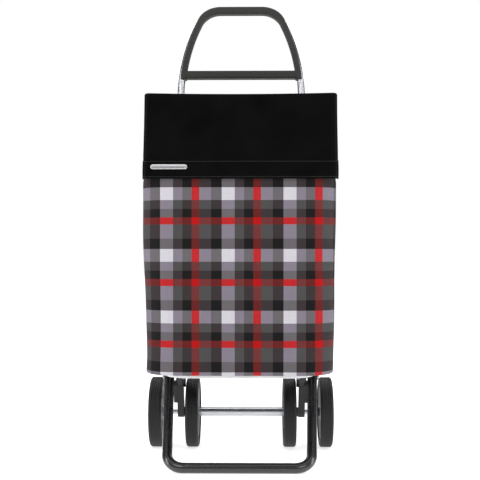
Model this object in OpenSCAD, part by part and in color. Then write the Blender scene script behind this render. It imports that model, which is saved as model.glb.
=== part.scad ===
// Folding shopping trolley on wheels.
// A bent tube frame with a looped grip carries a soft bag with a hinged cover.
// The bag stands on a U-shaped tray, and a U-shaped leg props the front.
// Four equal wheels share one axle, an inner and an outer one beside each bracket.
// Frame: +Z up, -Y front, origin on the floor under the middle of the trolley.

/* [Overall] */
// Height over the grip
overall_h = 1050; // [1040:1:1060]
// Depth from the cover's front to the back of the wheels
overall_depth = 400; // [396:1:404]

/* [Wheels] */
// Outer diameter of every tyre
wheel_d = 165; // [163:1:167]
// Width of a tyre
wheel_w = 30; // [26:1:30]
// Centre plane of an inner wheel, from the middle
inner_wheel_x = 114.5; // [114:0.1:114.7]
// Centre plane of an outer wheel, from the middle
outer_wheel_x = 200; // [199.5:0.5:202]
// Number of round windows in a rim
rim_windows = 6; // [5:1:7]

/* [Frame] */
// Diameter of the main tube
tube_d = 16; // [15:0.5:16]
// Wall of the main tube
tube_wall = 1.5; // [1:0.1:2]
// Centre of an upright, from the middle
upright_x = 142; // [141:0.5:143]
// Lean of the handle towards the back, in degrees
handle_lean = 8; // [6:1:9]

/* [Bag] */
// Half of the bag's width
bag_half_w = 200; // [198:1:204]
// Height of the bag's underside
bag_z = 211; // [211:0.5:213]
// Radius of the bag's upright corners
bag_corner = 45; // [42:1:46]
// Thickness of the bag's cloth
cloth = 2; // [1.5:0.5:2]
// How far the cover's front hangs down
cover_drop = 176; // [160:1:180]

/* [Stand] */
// Diameter of the leg tube
leg_d = 22; // [21:0.5:22]
// Diameter of the tray tube
tray_d = 12; // [11:0.5:12]

/* [Hidden] */
// Each wheel: its name, its centre plane, and 1 if its flange points towards -X, else -1
WHEELS = [
    ["outer_left_wheel", -outer_wheel_x, -1],
    ["outer_right_wheel", outer_wheel_x, 1],
    ["inner_left_wheel", -inner_wheel_x, 1],
    ["inner_right_wheel", inner_wheel_x, -1]
];
WHEEL_PIECES = ["tyre", "rim", "bush"];
$fn = 64;

// Clearances: a fixed gap between neighbours, and the radial gap of a shaft that turns
gap = 0.3;
running = 0.05;
bolt_gap = 0.1;

// Every other stretch of a bent bar is wider by a step, and its neighbours run into it by a lap
step = 0.2;
lap = 1;
lap_turn = 1;

// Axle line
hub_z = wheel_d / 2;
hub_y = overall_depth / 2 - wheel_d / 2;
axle_r = 6;
sleeve_r = 10.5;
sleeve_half = 106;
clip_x = 176.5;
clip_w = 1.6;

// Wheel, along its own axis from its centre plane; the flange is on the minus side
tyre_r = wheel_d / 2;
tyre_in_r = 64;
tyre_shoulder = 6;
rim_r = tyre_in_r - 0.1;
rim_w = 24;
rim_wall = 5;
hub_r = 16;
hub_low = -13;
hub_high = 8;
recess_low = 2;
recess_r = 12;
web_t = 5;
rib_t = 5;
rib_w = 16;
window_r = 11;
window_at = 38;
bush_r = 9;
flange_r = 11;
flange_low = -21;
cap_w = 3.8;

// Uprights and handle
tube_r = tube_d / 2;
upright_y = hub_y - 28;
upright_low = 150;
bend_z = 820;
bend_r = 90;
lean_z = bend_z + bend_r * sin(handle_lean);
lean_y = upright_y + bend_r * (1 - cos(handle_lean));
side_r = 395;
side_turn = 26;
corner_r = 59.4;
grip_over = 2.6;
top_half = upright_x - side_r + (side_r - corner_r) * cos(side_turn);
rise = (side_r - corner_r) * sin(side_turn) + corner_r;

// Grip: how far it reaches outward and inward of the tube's centre line
grip_side_out = 3.5;
grip_side_in = 13.5;
grip_top_in = 8.8;
grip_half_depth = 11;
grip_chamfer = 4;
side_h = (overall_h - lean_z - (grip_half_depth - grip_chamfer) * sin(handle_lean)) / cos(handle_lean)
    - rise - tube_r - grip_over;
crossbar_low = 41;
crossbar_h = 18.2;
crossbar_half_depth = 9;
grip_screw_spots = [[-100, 12], [100, 12], [-30, 0], [30, 0]];

// Cross tubes
cross_r = 6;
cross_wall = 1.2;
cross_low_z = 262;
cross_high_z = 735;
rivet_r = 2.4;

// Brackets
arm_x0 = 136;
arm_x1 = 151;
lug_x1 = 146.5;
socket_r = 11.8;
socket_low = 146;
socket_high = 232;
boss_r = 13;
arm_top = [upright_y, 150];
rib_low = [upright_y + 12, 112];
rib_x1 = 159;
lug_root = [upright_y, 196];
bracket_screw_z = [160, 206];
screw_r = 2.5;

// Tray and leg pivots: points as [y, z]
tray_pivot = [hub_y - 56, bag_z - gap - 0.2 - tray_d / 2];
leg_pivot = [hub_y - 76, 176];
front_bar_y = hub_y - 290;
tray_rail_x = 154;
tray_bend = 50;
tray_pin_r = 3;
tray_eye_r = 6.3;
tray_eye_half = 6;
tray_wall = 1.2;
tray_bar_r = 3;
tray_bar_count = 2;

leg_r = leg_d / 2;
leg_wall = 1.5;
leg_top_x = 165;
leg_low_x = 151.4;
leg_bend = 36;
leg_eye_r = 12;
leg_eye_half = 10.8;
leg_bolt_r = 4;
leg_drop = leg_pivot[1] - leg_r;
leg_reach = leg_pivot[0] - front_bar_y;
leg_len = sqrt(leg_drop * leg_drop + leg_reach * leg_reach);
leg_tilt = atan(leg_drop / leg_reach);
leg_taper = atan((leg_top_x - leg_low_x) / leg_len);
leg_straight = (leg_len - leg_bend + leg_bend * sin(leg_taper)) / cos(leg_taper);
leg_bar_half = leg_top_x - leg_straight * sin(leg_taper) - leg_bend * cos(leg_taper);

// Bag
bag_back = upright_y - tube_r - 4;
cover_gap = 1.5;
cover_t = 2.5;
badge = [76, 1.2, 10];
cover_front = badge[1] - overall_depth / 2;
bag_front = cover_front + cover_t + cover_gap;
bag_top = 777;
binding_h = 5.8;
binding_w = 4;
hoop_r = 2;
hoop_z = bag_top - 7;
board_t = 3;
board_half_w = 190;
board_back = hub_y - 63;
board_front = hub_y - 300;
board_corner = 35;

// Cover
cover_half_w = bag_half_w + cover_gap + cover_t;
cover_top = bag_top + 13;
cover_panel_t = 3;
cover_corner = 16;
cover_low = cover_top - cover_drop;
hem_h = 38;
cover_back = bag_back - 3;
hinge_r = 2;
hinge = [bag_back - 0.5, cover_top - cover_panel_t / 2];
hinge_half = bag_half_w - bag_corner;
skirt_back_y = 30;
skirt_back_z = cover_low + 100;
patch = [60, 0.5, 24];
patch_x = 105;
patch_z = cover_low + 26;
badge_left = -183;
badge_z = cover_low + 24;

// Hangers and straps on the uprights
hanger_z = 752;
hanger_h = 24;
hanger_r = 11.5;
strap_z = 330;
strap_h = 34;
strap_t = 1.6;
pad_half = 17;

// ---------- shared shapes ----------

module x_bar(x0, x1, spot, r) {
    translate([x0, spot[0], spot[1]]) rotate([0, 90, 0]) cylinder(r = r, h = x1 - x0);
}

// A shape drawn in the Y-Z plane, made into a plate between two X planes
module yz_plate(x0, x1) {
    translate([x0, 0, 0]) rotate([90, 0, 90]) linear_extrude(x1 - x0) children();
}

module both_sides() {
    children();
    mirror([1, 0, 0]) children();
}

module at_side(s) {
    if (s < 0) mirror([1, 0, 0]) children();
    else children();
}

// A rectangle with round corners, from its low to its high corner
module round_rect(low, high, r) {
    size = high - low;
    translate(low + [r, 0]) square([size[0] - 2 * r, size[1]]);
    translate(low + [0, r]) square([size[0], size[1] - 2 * r]);
    for (x = [low[0] + r, high[0] - r], y = [low[1] + r, high[1] - r]) translate([x, y]) circle(r);
}

// A quarter of a ring in one corner of a rounded outline
module corner_strip(centre, r, t, low, high, turn) {
    translate([centre[0], centre[1], low]) linear_extrude(high - low) rotate(turn) difference() {
        circle(r);
        circle(r - t);
        translate([-2 * r, -r - 1]) square([2 * r, 2 * r + 2]);
        translate([-1, -2 * r]) square([r + 2, 2 * r]);
    }
}

// An arc of round bar about the Z axis
module arc_bar(r, bend, a0, a1) {
    rotate(a0) rotate_extrude(angle = a1 - a0) translate([bend, 0]) circle(r);
}

// A straight round bar in the X-Y plane
module plane_bar(r, spot, direction, length) {
    translate([spot[0], spot[1], 0]) rotate(direction) rotate([0, 90, 0]) cylinder(r = r, h = length);
}

// ---------- main tube and grip ----------

// The handle's own plane: X across, Y up the handle, Z towards the front
module handle_plane() {
    translate([0, lean_y, lean_z]) rotate([90 - handle_lean, 0, 0]) children();
}

// The centre line of the handle as a solid bar of radius r
module handle_bar(r) {
    both_sides() {
        plane_bar(r, [upright_x, -lap], 90, side_h + 2 * lap);
        translate([upright_x - side_r, side_h]) arc_bar(r + step, side_r, 0, side_turn);
        translate([top_half, side_h + rise - corner_r])
            arc_bar(r, corner_r, side_turn - lap_turn, 90 + lap_turn);
    }
    plane_bar(r + step, [-top_half, side_h + rise], 0, 2 * top_half);
}

module frame_bar(r) {
    both_sides() {
        translate([upright_x, upright_y, upright_low]) cylinder(r = r, h = bend_z - upright_low + lap);
        translate([upright_x, upright_y + bend_r, bend_z]) rotate([0, -90, 0])
            rotate(-90) arc_bar(r + step, bend_r, 0, handle_lean);
    }
    handle_plane() handle_bar(r);
}

module main_tube() {
    color("silver") difference() {
        frame_bar(tube_r);
        frame_bar(tube_r - tube_wall);
        for (z = [cross_low_z, cross_high_z])
            both_sides() x_bar(upright_x - 2 * tube_r, upright_x + 2 * tube_r, [upright_y, z], rivet_r + 0.05);
        for (z = bracket_screw_z)
            both_sides() translate([upright_x, upright_y - 20, z]) rotate([-90, 0, 0])
                cylinder(r = screw_r + bolt_gap, h = 40);
    }
}

// Cross section of the grip: outward reach is +X, and Y is the depth
module grip_section(reach_in, reach_out, half_depth) {
    c = grip_chamfer;
    polygon([
        [-reach_in + c, -half_depth], [reach_out - c, -half_depth], [reach_out, -half_depth + c],
        [reach_out, half_depth - c], [reach_out - c, half_depth], [-reach_in + c, half_depth],
        [-reach_in, half_depth - c], [-reach_in, -half_depth + c]
    ]);
}

module grip_arc(bend, a0, a1, reach_in, reach_out, half_depth) {
    rotate(a0) rotate_extrude(angle = a1 - a0) translate([bend, 0])
        grip_section(reach_in, reach_out, half_depth);
}

module grip_loop() {
    grip_low = crossbar_low - 3;
    both_sides() {
        intersection() {
            translate([upright_x - side_r, side_h])
                grip_arc(side_r, 0, side_turn + lap_turn / 2, grip_side_in, grip_side_out, grip_half_depth);
            translate([0, grip_low, -20]) cube([200, 300, 40]);
        }
        translate([top_half, side_h + rise - corner_r])
            grip_arc(corner_r, side_turn - 2 * lap_turn, 90, grip_top_in, tube_r + grip_over,
                     grip_half_depth - step);
    }
    translate([-top_half - lap, side_h + rise, 0]) rotate([90, 0, 90]) linear_extrude(2 * (top_half + lap))
        grip_section(grip_top_in - step, tube_r + grip_over - step, grip_half_depth - 2 * step);
    translate([-upright_x, crossbar_low, -crossbar_half_depth])
        cube([2 * upright_x, crossbar_h, 2 * crossbar_half_depth]);
}

// side is 1 for the front shell and -1 for the rear one
module grip_shell(side) {
    color("dimgray") handle_plane() difference() {
        intersection() {
            grip_loop();
            translate([-200, 0, side > 0 ? gap / 2 : -20 - gap / 2]) cube([400, 300, 20]);
        }
        handle_bar(tube_r + bolt_gap);
        grip_screw_sites() translate([0, 0, -20]) cylinder(r = screw_r - 0.5 + bolt_gap, h = 26);
    }
}

module grip_screw_sites() {
    for (s = grip_screw_spots) translate([s[0], crossbar_low + crossbar_h / 2, 0]) children();
}

module grip_screws() {
    color("gray") handle_plane() grip_screw_sites() {
        translate([0, 0, -crossbar_half_depth - 2]) cylinder(r = 4, h = 1.9);
        translate([0, 0, -crossbar_half_depth - 0.2]) cylinder(r = screw_r - 0.5, h = crossbar_half_depth + 4);
    }
}

module cross_tube(z) {
    color("silver") difference() {
        x_bar(-upright_x, upright_x, [upright_y, z], cross_r);
        x_bar(-upright_x - 1, upright_x + 1, [upright_y, z], cross_r - cross_wall);
        both_sides() translate([upright_x, upright_y, z - 20]) cylinder(r = tube_r + 0.05, h = 40);
    }
}

module cross_tube_rivets() {
    color("gray") for (z = [cross_low_z, cross_high_z]) both_sides() {
        x_bar(upright_x - 14, upright_x + tube_r + 0.1, [upright_y, z], rivet_r);
        x_bar(upright_x + tube_r + 0.1, upright_x + tube_r + 2.2, [upright_y, z], 4.5);
    }
}

// ---------- brackets and axle ----------

module disc_at(spot, r) {
    translate(spot) circle(r, $fn = 32);
}

module bracket(s) {
    color([0.07, 0.07, 0.08]) at_side(s) difference() {
        union() {
            yz_plate(arm_x0, arm_x1) hull() {
                disc_at([hub_y, hub_z], boss_r);
                disc_at(arm_top, 11);
            }
            yz_plate(arm_x0, rib_x1) hull() {
                disc_at(arm_top, 11);
                disc_at(rib_low, 6);
            }
            yz_plate(arm_x0, lug_x1) hull() {
                disc_at(arm_top, 10);
                disc_at(lug_root, 12);
                disc_at(tray_pivot, tray_d / 2);
                disc_at(leg_pivot, leg_eye_r);
            }
            translate([upright_x, upright_y, socket_low]) cylinder(r = socket_r, h = socket_high - socket_low);
        }
        translate([upright_x, upright_y, upright_low - gap])
            cylinder(r = tube_r + bolt_gap, h = socket_high - upright_low + 1);
        x_bar(arm_x0 - 5, arm_x1 + 5, [hub_y, hub_z], axle_r + running);
        x_bar(arm_x0 - 5, arm_x1 + 5, leg_pivot, leg_bolt_r + bolt_gap);
        x_bar(arm_x0 - 5, arm_x1 + 5, tray_pivot, tray_pin_r + bolt_gap);
        bracket_screw_sites() cylinder(r = screw_r + bolt_gap, h = 40, center = true);
    }
}

module bracket_screw_sites() {
    for (z = bracket_screw_z) translate([upright_x, upright_y, z]) rotate([90, 0, 0]) children();
}

module bracket_screws() {
    color("gray") both_sides() bracket_screw_sites() {
        translate([0, 0, -socket_r - 3]) cylinder(r = 4.5, h = 2.9);
        translate([0, 0, -socket_r - 0.2]) cylinder(r = screw_r, h = socket_r + 10);
    }
}

module axle_rod() {
    end_x = outer_wheel_x + recess_low + 5;
    color("silver") x_bar(-end_x, end_x, [hub_y, hub_z], axle_r);
}

module axle_sleeve() {
    color("silver") difference() {
        x_bar(-sleeve_half, sleeve_half, [hub_y, hub_z], sleeve_r);
        x_bar(-sleeve_half - 1, sleeve_half + 1, [hub_y, hub_z], axle_r + bolt_gap);
    }
}

module axle_ring(x0, x1, r) {
    difference() {
        x_bar(x0, x1, [hub_y, hub_z], r);
        x_bar(x0 - 1, x1 + 1, [hub_y, hub_z], axle_r + bolt_gap / 2);
    }
}

module axle_clips() {
    color("gray") both_sides() axle_ring(clip_x, clip_x + clip_w, 9);
}

module axle_nuts() {
    nut_x = outer_wheel_x + recess_low + gap;
    color("gray") both_sides() axle_ring(nut_x, nut_x + 4, 10);
}

// ---------- wheels ----------

// Puts a wheel's own axis, drawn along +Z, on the axle
module on_axle(w) {
    translate([w[1], hub_y, hub_z]) rotate([0, 90 * w[2], 0]) children();
}

module wheel_tyre(w) {
    color([0.12, 0.12, 0.13]) on_axle(w) rotate_extrude() {
        half = wheel_w / 2;
        translate([tyre_in_r, -half]) square([tyre_r - tyre_in_r - tyre_shoulder, wheel_w]);
        translate([tyre_in_r, -half + tyre_shoulder])
            square([tyre_r - tyre_in_r, wheel_w - 2 * tyre_shoulder]);
        for (v = [-1, 1]) translate([tyre_r - tyre_shoulder, v * (half - tyre_shoulder)]) circle(tyre_shoulder);
    }
}

module wheel_rim(w) {
    color("lightgray") on_axle(w) difference() {
        union() {
            rotate_extrude() {
                translate([rim_r - rim_wall, -rim_w / 2]) square([rim_wall, rim_w]);
                translate([hub_r - 1, -web_t / 2]) square([rim_r - rim_wall - hub_r + 2, web_t]);
            }
            translate([0, 0, hub_low]) cylinder(r = hub_r, h = hub_high - hub_low);
            for (i = [0:rim_windows - 1]) rotate(i * 360 / rim_windows)
                translate([hub_r - 2, -rib_t / 2, -rib_w / 2]) cube([rim_r - rim_wall - hub_r + 3, rib_t, rib_w]);
        }
        translate([0, 0, hub_low - 1]) cylinder(r = bush_r + bolt_gap / 2, h = 60);
        translate([0, 0, recess_low]) cylinder(r = recess_r, h = 60);
        for (i = [0:rim_windows - 1]) rotate((i + 0.5) * 360 / rim_windows)
            translate([window_at, 0, -web_t]) cylinder(r = window_r, h = 2 * web_t);
    }
}

module wheel_bush(w) {
    color([0.08, 0.08, 0.08]) on_axle(w) difference() {
        union() {
            translate([0, 0, flange_low]) cylinder(r = flange_r, h = hub_low - flange_low - 0.1);
            translate([0, 0, hub_low - 1]) cylinder(r = bush_r, h = recess_low - hub_low + 1);
        }
        translate([0, 0, flange_low - 1]) cylinder(r = axle_r + running, h = 60);
    }
}

module wheel_cap(w) {
    color([0.1, 0.1, 0.1]) on_axle(w) {
        translate([0, 0, hub_high + 0.1]) cylinder(r = hub_r - 0.5, h = cap_w);
    }
}

// ---------- tray ----------

module tray_bar(r) {
    translate([0, 0, tray_pivot[1]]) {
        both_sides() {
            plane_bar(r, [tray_rail_x, front_bar_y + tray_bend], 90, tray_pivot[0] - front_bar_y - tray_bend - 7);
            translate([tray_rail_x - tray_bend, front_bar_y + tray_bend]) arc_bar(r, tray_bend, -90, 0);
        }
        plane_bar(r, [tray_bend - tray_rail_x, front_bar_y], 0, 2 * (tray_rail_x - tray_bend));
    }
}

module tray_tube() {
    color("whitesmoke") difference() {
        tray_bar(tray_d / 2);
        tray_bar(tray_d / 2 - tray_wall);
        both_sides() x_bar(tray_rail_x - 20, tray_rail_x + 20, tray_pivot, tray_eye_r + 0.1);
    }
}

module tray_cross_bars() {
    pitch = (tray_pivot[0] - front_bar_y) / (tray_bar_count + 1);
    color("whitesmoke") for (i = [1:tray_bar_count]) difference() {
        x_bar(-tray_rail_x, tray_rail_x, [front_bar_y + i * pitch, tray_pivot[1]], tray_bar_r);
        both_sides() translate([tray_rail_x, front_bar_y + i * pitch - 10, tray_pivot[1]])
            rotate([-90, 0, 0]) cylinder(r = tray_d / 2 + 0.05, h = 20);
    }
}

module tray_end_fittings() {
    color([0.1, 0.1, 0.1]) both_sides() difference() {
        union() {
            x_bar(tray_rail_x - tray_eye_half, tray_rail_x + tray_eye_half, tray_pivot, tray_eye_r);
            translate([tray_rail_x, tray_pivot[0] - 28, tray_pivot[1]]) rotate([-90, 0, 0])
                cylinder(r = tray_d / 2 - tray_wall - bolt_gap, h = 24);
        }
        x_bar(tray_rail_x - 20, tray_rail_x + 20, tray_pivot, tray_pin_r + running);
    }
}

module tray_pivot_pins() {
    color("gray") both_sides() {
        x_bar(arm_x0 - 1.5, tray_rail_x + tray_eye_half + 1, tray_pivot, tray_pin_r);
        x_bar(arm_x0 - 3.5, arm_x0 - gap, tray_pivot, tray_pin_r + 2);
        x_bar(tray_rail_x + tray_eye_half + 0.5, tray_rail_x + tray_eye_half + 3, tray_pivot, tray_pin_r + 2.5);
    }
}

module base_board() {
    color("saddlebrown") translate([0, 0, bag_z + cloth + gap]) linear_extrude(board_t)
        round_rect([-board_half_w, board_front], [board_half_w, board_back], board_corner);
}

// ---------- leg ----------

// The leg's own plane: X across, Y down the leg from its pivot
module leg_plane() {
    translate([0, leg_pivot[0], leg_pivot[1]]) rotate([180 + leg_tilt, 0, 0]) children();
}

module leg_bar(r) {
    corner = [leg_bar_half, leg_len - leg_bend];
    both_sides() {
        plane_bar(r, [leg_top_x, 0], 90 + leg_taper, leg_straight + lap / 2);
        translate(corner) arc_bar(r + step, leg_bend, leg_taper, 90);
    }
    plane_bar(r, [-leg_bar_half - lap / 2, leg_len], 0, 2 * leg_bar_half + lap);
}

module leg_tube() {
    color([0.1, 0.1, 0.1]) difference() {
        leg_plane() leg_bar(leg_r);
        leg_plane() leg_bar(leg_r - leg_wall);
        both_sides() x_bar(leg_top_x - 20, leg_top_x + 20, leg_pivot, leg_eye_r + 0.1);
    }
}

module leg_end_fittings() {
    color([0.07, 0.07, 0.08]) both_sides() difference() {
        union() {
            x_bar(leg_top_x - leg_eye_half, leg_top_x + leg_eye_half, leg_pivot, leg_eye_r);
            leg_plane() plane_bar(leg_r - leg_wall - bolt_gap, [leg_top_x, 0], 90 + leg_taper, 34);
        }
        x_bar(leg_top_x - 20, leg_top_x + 20, leg_pivot, leg_bolt_r + running);
    }
}

module leg_pivot_bolts() {
    color("gray") both_sides() {
        x_bar(arm_x0 - 5, leg_top_x + leg_eye_half + 2, leg_pivot, leg_bolt_r);
        x_bar(leg_top_x + leg_eye_half + 0.5, leg_top_x + leg_eye_half + 4, leg_pivot, 7);
        translate([arm_x0 - 5.5, leg_pivot[0], leg_pivot[1]]) rotate([0, 90, 0]) cylinder(r = 7, h = 5.2, $fn = 6);
    }
}

// ---------- bag ----------

module wall_slab(low, high) {
    translate(low) cube(high - low);
}

module bag_front_panel() {
    half = bag_half_w - bag_corner - gap;
    color("firebrick") wall_slab([-half, bag_front, bag_z], [half, bag_front + cloth, bag_top]);
}

module bag_back_panel() {
    half = bag_half_w - bag_corner - gap;
    color("black") wall_slab([-half, bag_back - cloth, bag_z], [half, bag_back, bag_top]);
}

module bag_side_panel(s) {
    x = bag_half_w - bag_corner;
    y0 = bag_front + bag_corner;
    y1 = bag_back - bag_corner;
    color("dimgray") at_side(s) {
        wall_slab([bag_half_w - cloth, y0 + gap, bag_z], [bag_half_w, y1 - gap, bag_top]);
        corner_strip([x, y0], bag_corner, cloth, bag_z, bag_top, -90);
        corner_strip([x, y1], bag_corner, cloth, bag_z, bag_top, 0);
    }
}

module bag_bottom_panel() {
    inset = cloth + gap;
    color("black") translate([0, 0, bag_z]) linear_extrude(cloth)
        round_rect([-bag_half_w + inset, bag_front + inset], [bag_half_w - inset, bag_back - inset],
                   bag_corner - inset);
}

module bag_rim_hoop() {
    inset = cloth + gap + hoop_r;
    x = bag_half_w - bag_corner;
    y0 = bag_front + bag_corner;
    y1 = bag_back - bag_corner;
    r = bag_corner - inset;
    color("gray") translate([0, 0, hoop_z]) {
        both_sides() {
            plane_bar(hoop_r, [bag_half_w - inset, y0], 90, y1 - y0);
            translate([x, y0]) arc_bar(hoop_r, r, -90, 0);
            translate([x, y1]) arc_bar(hoop_r, r, 0, 90);
        }
        plane_bar(hoop_r, [-x, bag_front + inset], 0, 2 * x);
        plane_bar(hoop_r, [-x, bag_back - inset], 0, 2 * x);
    }
}

module bag_rim_binding() {
    w = binding_w;
    color("black") translate([0, 0, bag_top + 0.1]) linear_extrude(binding_h) difference() {
        round_rect([-bag_half_w, bag_front], [bag_half_w, bag_back], bag_corner);
        round_rect([-bag_half_w + w, bag_front + w], [bag_half_w - w, bag_back - w], bag_corner - w);
    }
}

module closure_patches(y) {
    both_sides() translate([patch_x, y, patch_z])
        translate([-patch[0] / 2, 0, -patch[2] / 2]) cube(patch);
}

module upright_band(r, z, h, pad_t) {
    difference() {
        union() {
            translate([upright_x, upright_y, z]) cylinder(r = r, h = h);
            translate([upright_x - pad_half, bag_back + 0.2, z]) cube([2 * pad_half, pad_t, h]);
        }
        translate([upright_x, upright_y, z - 1]) cylinder(r = tube_r + bolt_gap, h = h + 2);
    }
}

module bag_hanger(s) {
    color([0.07, 0.07, 0.08]) at_side(s) upright_band(hanger_r, hanger_z, hanger_h, 3);
}

module bag_strap(s) {
    color("black") at_side(s) upright_band(tube_r + bolt_gap + strap_t, strap_z, strap_h, strap_t + 1);
}

// ---------- cover ----------

module cover_top_panel() {
    color("black") translate([0, 0, cover_top - cover_panel_t]) linear_extrude(cover_panel_t)
        round_rect([-cover_half_w, cover_front], [cover_half_w, cover_back], cover_corner);
}

module cover_front_flap() {
    half = cover_half_w - cover_corner - gap;
    color("black") wall_slab([-half, cover_front, cover_low + hem_h + gap],
                             [half, cover_front + cover_t, cover_top - cover_panel_t - gap]);
}

module cover_hem_band() {
    half = cover_half_w - cover_corner - gap;
    color([0.08, 0.08, 0.08]) wall_slab([-half, cover_front, cover_low],
                                        [half, cover_front + cover_t, cover_low + hem_h]);
}

module cover_skirt(s) {
    y0 = cover_front + cover_corner;
    high = cover_top - cover_panel_t - gap;
    color("black") at_side(s) {
        yz_plate(cover_half_w - cover_t, cover_half_w)
            polygon([[y0 + gap, cover_low], [skirt_back_y, skirt_back_z], [skirt_back_y, high], [y0 + gap, high]]);
        corner_strip([cover_half_w - cover_corner, y0], cover_corner, cover_t, cover_low, high, -90);
    }
}

module cover_stiffener() {
    low = cover_top - cover_panel_t - 2.6;
    color("saddlebrown") translate([0, 0, low]) linear_extrude(2.3)
        round_rect([-board_half_w, cover_front + 15], [board_half_w, cover_back - 14], board_corner);
}

module cover_hinge_piping() {
    color("black") x_bar(-hinge_half, hinge_half, hinge, hinge_r);
}

module cover_badge() {
    color("silver") translate([badge_left, cover_front - badge[1], badge_z - badge[2] / 2]) cube(badge);
}

// ---------- build ----------

main_tube();
grip_shell(1);  // grip_front_shell
grip_shell(-1);  // grip_rear_shell
grip_screws();
cross_tube(cross_high_z);  // upper_cross_tube
cross_tube(cross_low_z);  // lower_cross_tube
cross_tube_rivets();
bracket(-1);  // bracket_left
bracket(1);  // bracket_right
bracket_screws();
axle_rod();
axle_sleeve();
axle_clips();
axle_nuts();
leg_pivot_bolts();
tray_pivot_pins();
bag_hanger(-1);  // bag_hanger_left
bag_hanger(1);  // bag_hanger_right
bag_strap(-1);  // bag_strap_left
bag_strap(1);  // bag_strap_right

bag_front_panel();
bag_side_panel(-1);  // bag_left_panel
bag_side_panel(1);  // bag_right_panel
bag_back_panel();
bag_bottom_panel();
bag_rim_hoop();
bag_rim_binding();
color("black") closure_patches(bag_front - patch[1] - 0.1);  // closure_loop_patches

cover_top_panel();
cover_front_flap();
cover_hem_band();
cover_skirt(-1);  // cover_left_skirt
cover_skirt(1);  // cover_right_skirt
cover_stiffener();
cover_hinge_piping();
cover_badge();
color("black") closure_patches(cover_front + cover_t + 0.1);  // closure_hook_patches

tray_tube();
tray_cross_bars();
tray_end_fittings();
base_board();
leg_tube();
leg_end_fittings();

for (w = WHEELS) {
    wheel_tyre(w);
    wheel_rim(w);
    wheel_bush(w);
}
wheel_cap(WHEELS[0]);  // outer_left_wheel_cap
wheel_cap(WHEELS[1]);  // outer_right_wheel_cap
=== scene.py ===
import math

import bmesh
import bpy
from mathutils import Matrix, Vector


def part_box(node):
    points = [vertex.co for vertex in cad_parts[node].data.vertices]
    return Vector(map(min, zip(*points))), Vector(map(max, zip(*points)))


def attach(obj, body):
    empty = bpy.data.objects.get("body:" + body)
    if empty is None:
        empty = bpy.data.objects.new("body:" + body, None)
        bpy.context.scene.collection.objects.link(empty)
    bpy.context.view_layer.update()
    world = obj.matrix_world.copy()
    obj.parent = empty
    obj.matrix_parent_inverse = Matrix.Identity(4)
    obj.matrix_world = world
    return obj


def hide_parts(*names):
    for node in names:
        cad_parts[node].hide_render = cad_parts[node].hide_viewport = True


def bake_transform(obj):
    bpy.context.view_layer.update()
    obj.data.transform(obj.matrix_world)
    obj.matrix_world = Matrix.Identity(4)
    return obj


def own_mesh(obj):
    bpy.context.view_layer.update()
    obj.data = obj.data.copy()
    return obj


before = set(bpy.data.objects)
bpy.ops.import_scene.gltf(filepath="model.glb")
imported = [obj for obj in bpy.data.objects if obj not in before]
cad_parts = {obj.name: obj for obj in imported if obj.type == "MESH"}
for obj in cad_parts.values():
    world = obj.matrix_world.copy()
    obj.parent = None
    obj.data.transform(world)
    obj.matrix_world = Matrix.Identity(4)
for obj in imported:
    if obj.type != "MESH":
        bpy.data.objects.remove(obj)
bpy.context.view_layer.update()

# Places read from the frame, in metres
WHEEL_NAMES = ["outer_left_wheel", "outer_right_wheel", "inner_left_wheel", "inner_right_wheel"]


def middle(node):
    low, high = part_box(node)
    return (low + high) / 2


HUB = middle("axle_rod")
BAG_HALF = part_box("bag_right_panel")[1].x
BAG_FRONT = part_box("bag_front_panel")[0].y
BAG_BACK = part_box("bag_back_panel")[1].y
BAG_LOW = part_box("bag_bottom_panel")[0].z
BAG_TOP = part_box("bag_rim_binding")[1].z
BAG_CORNER = BAG_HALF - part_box("bag_front_panel")[1].x
COVER_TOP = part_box("cover_top_panel")[1].z
COVER_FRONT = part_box("cover_hem_band")[0].y
COVER_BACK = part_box("cover_top_panel")[1].y
COVER_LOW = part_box("cover_hem_band")[0].z
HEM_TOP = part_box("cover_hem_band")[1].z
SKIRT_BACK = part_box("cover_right_skirt")[1].y
HINGE = Vector((0, 0.0765, 0.7885))    # where the cover turns, at the back of its top


def flatten(pieces):
    """Gives each fabric piece its own copy of its mesh."""
    for piece in pieces:
        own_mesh(piece)


# ---------- camera and lights ----------

CAMERA_DISTANCE = 2.30     # in front of the axle
CAMERA_HEIGHT = 0.4527
CAMERA_YAW = math.radians(0.9)
SIDE_OFFSET = -0.0030
LENS_MM = 72.2
SHIFT_UP = 0.0348

# name, place, the point it faces, width and height, power
LIGHTS = (
    ("key", (-1.1, -2.4, 2.5), (0, 0, 0.5), (1.2, 1.2), 23),
    ("fill", (1.3, -2.6, 1.9), (0, 0, 0.5), (1.2, 1.2), 17),
    ("left_strip", (-1.5, -0.5, 0.75), (0, 0, 0.6), (0.35, 1.8), 11),
    ("right_strip", (1.5, -0.4, 0.75), (0, 0, 0.6), (0.35, 1.8), 11),
    ("back_left", (-1.4, 1.9, 1.9), (0, 0, 0.5), (1.0, 1.0), 16),
    ("back_right", (1.4, 1.9, 1.9), (0, 0, 0.5), (1.0, 1.0), 16),
    ("overhead", (0, 0.2, 3.0), (0, 0.2, 0), (2.4, 2.4), 30),
)
ROOM_IN_FRONT, ROOM_BEHIND = 0.34, 0.14    # strength of the room's light


def make_camera():
    data = bpy.data.cameras.new("camera")
    data.sensor_width = 36
    data.lens = LENS_MM
    data.shift_y = SHIFT_UP
    camera = bpy.data.objects.new("camera", data)
    camera.location = (
        SIDE_OFFSET + CAMERA_DISTANCE * math.sin(CAMERA_YAW),
        HUB.y - CAMERA_DISTANCE * math.cos(CAMERA_YAW),
        CAMERA_HEIGHT,
    )
    camera.rotation_euler = (math.pi / 2, 0, CAMERA_YAW)
    bpy.context.scene.collection.objects.link(camera)
    bpy.context.scene.camera = camera


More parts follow.
